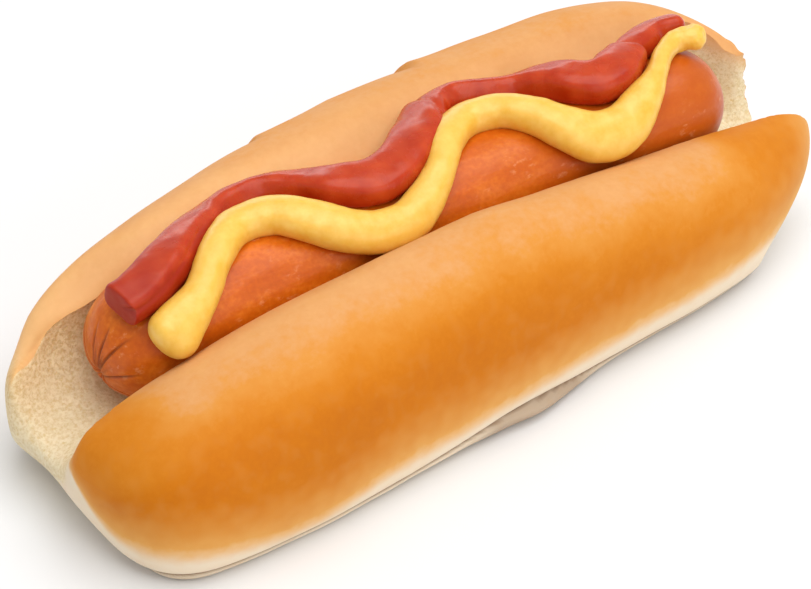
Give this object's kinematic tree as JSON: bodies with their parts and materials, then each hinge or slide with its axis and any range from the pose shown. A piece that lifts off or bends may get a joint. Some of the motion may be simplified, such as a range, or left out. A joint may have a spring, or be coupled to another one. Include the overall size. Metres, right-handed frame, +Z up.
{
  "type": "hot dog in a bun",
  "caption": "Soft split bun with browned crust and pale crumb, holding a smooth frankfurter topped with a wavy line of ketchup and a wavy line of mustard.",
  "frame": {"origin": "on the table, under the middle of the whole", "axes": "+X along the bun, +Y across it to the ketchup side, +Z up"},
  "size_m": [0.1692, 0.0776, 0.0433],
  "materials": {
    "bun": "soft browned crust, paler and matte where it tore and where it is cut",
    "sausage": "smooth skin with a satin shine",
    "ketchup": "wet and glossy",
    "mustard": "smooth with a soft shine"
  },
  "bodies": {
    "root": {"bun": "bun", "sausage": "sausage", "ketchup": "ketchup", "mustard": "mustard"}
  },
  "joints": []
}
